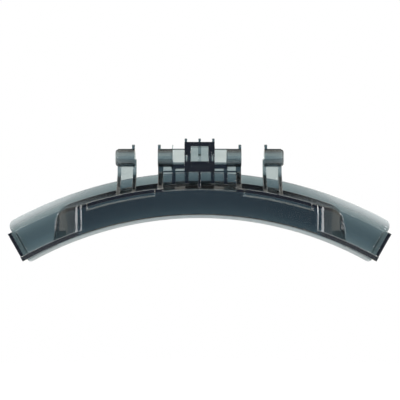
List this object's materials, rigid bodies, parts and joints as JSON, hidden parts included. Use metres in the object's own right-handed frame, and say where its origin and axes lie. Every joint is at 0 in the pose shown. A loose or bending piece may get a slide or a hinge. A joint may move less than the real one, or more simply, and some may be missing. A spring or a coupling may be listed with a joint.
{
  "type": "washing machine door handle",
  "caption": "Curved door handle for a front-loading washing machine, moulded in clear smoke-grey plastic, with a finger pocket behind its show face and hinge arms for a pivot pin.",
  "frame": {"origin": "middle of the pivot axis, on the centre line of the pin bore", "axes": "+X along the pivot axis, +Y to the show face, +Z from the door ring's centre outwards through the middle of the handle"},
  "size_m": [0.234, 0.0221, 0.0753],
  "materials": {
    "smoke_plastic": "clear gloss"
  },
  "bodies": {
    "root": {"door_handle": "smoke_plastic"}
  },
  "joints": []
}
